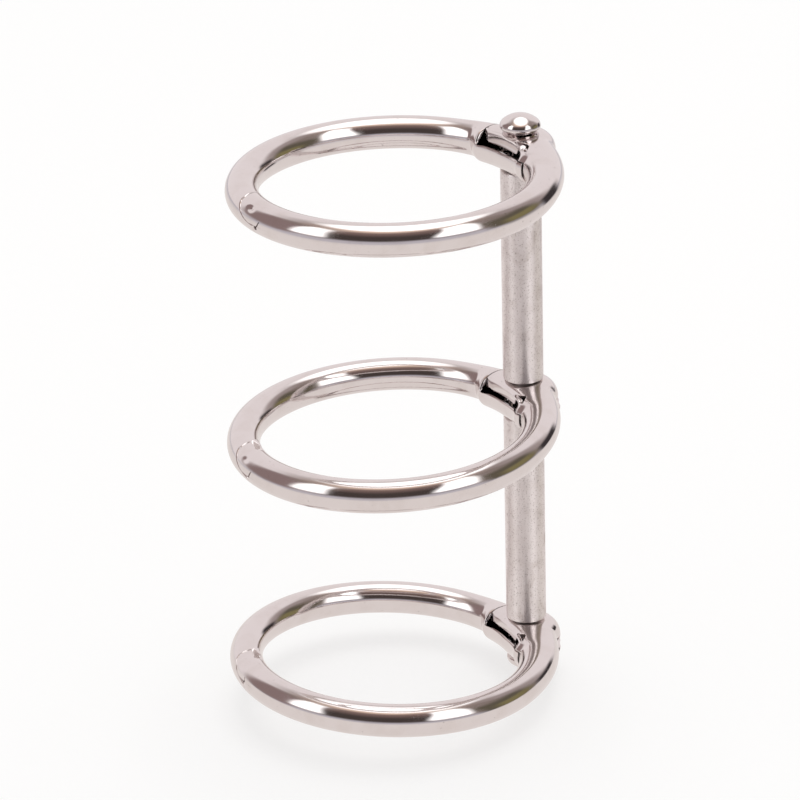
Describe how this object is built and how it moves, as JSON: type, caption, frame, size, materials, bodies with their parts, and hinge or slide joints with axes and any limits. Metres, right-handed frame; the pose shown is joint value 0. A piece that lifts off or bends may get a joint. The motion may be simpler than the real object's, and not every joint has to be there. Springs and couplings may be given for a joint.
{
  "type": "hinged loose-leaf ring binding",
  "caption": "Hinged metal book rings on one long rivet with tube spacers between them; each ring opens at a half-lap latch to take punched sheets.",
  "frame": {"origin": "on the rivet axis in the plane of the middle ring", "axes": "+Z along the rivet towards the top ring; the rings reach towards -X and a little -Y, and open towards -Y"},
  "size_m": [0.0391, 0.0401, 0.0696],
  "materials": {
    "bright_nickel": "bright nickel plate on steel sheet, faint scratches",
    "spacer_nickel": "drawn and nickel-plated tube, slightly duller, fine grain along its length"
  },
  "bodies": {
    "rivet": {"hinge_rod": "bright_nickel", "upper_spacer": "spacer_nickel", "lower_spacer": "spacer_nickel"},
    "back_top": {"back_half_top": "bright_nickel"},
    "front_top": {"front_half_top": "bright_nickel"},
    "back_middle": {"back_half_middle": "bright_nickel"},
    "front_middle": {"front_half_middle": "bright_nickel"},
    "back_bottom": {"back_half_bottom": "bright_nickel"},
    "front_bottom": {"front_half_bottom": "bright_nickel"}
  },
  "joints": [
    {"name": "top_ring_turn", "type": "hinge", "parent": "rivet", "child": "back_top", "pos_m": [0, 0, 0.0305], "axis": [0, 0, 1], "continuous": true},
    {"name": "top_ring_open", "type": "hinge", "parent": "back_top", "child": "front_top", "pos_m": [0, 0, 0.0305], "axis": [0, 0, 1], "range_deg": [0, 115]},
    {"name": "middle_ring_turn", "type": "hinge", "parent": "rivet", "child": "back_middle", "pos_m": [0, 0, 0], "axis": [0, 0, 1], "continuous": true},
    {"name": "middle_ring_open", "type": "hinge", "parent": "back_middle", "child": "front_middle", "pos_m": [0, 0, 0], "axis": [0, 0, 1], "range_deg": [0, 115]},
    {"name": "bottom_ring_turn", "type": "hinge", "parent": "rivet", "child": "back_bottom", "pos_m": [0, 0, -0.0305], "axis": [0, 0, 1], "continuous": true},
    {"name": "bottom_ring_open", "type": "hinge", "parent": "back_bottom", "child": "front_bottom", "pos_m": [0, 0, -0.0305], "axis": [0, 0, 1], "range_deg": [0, 115]}
  ]
}
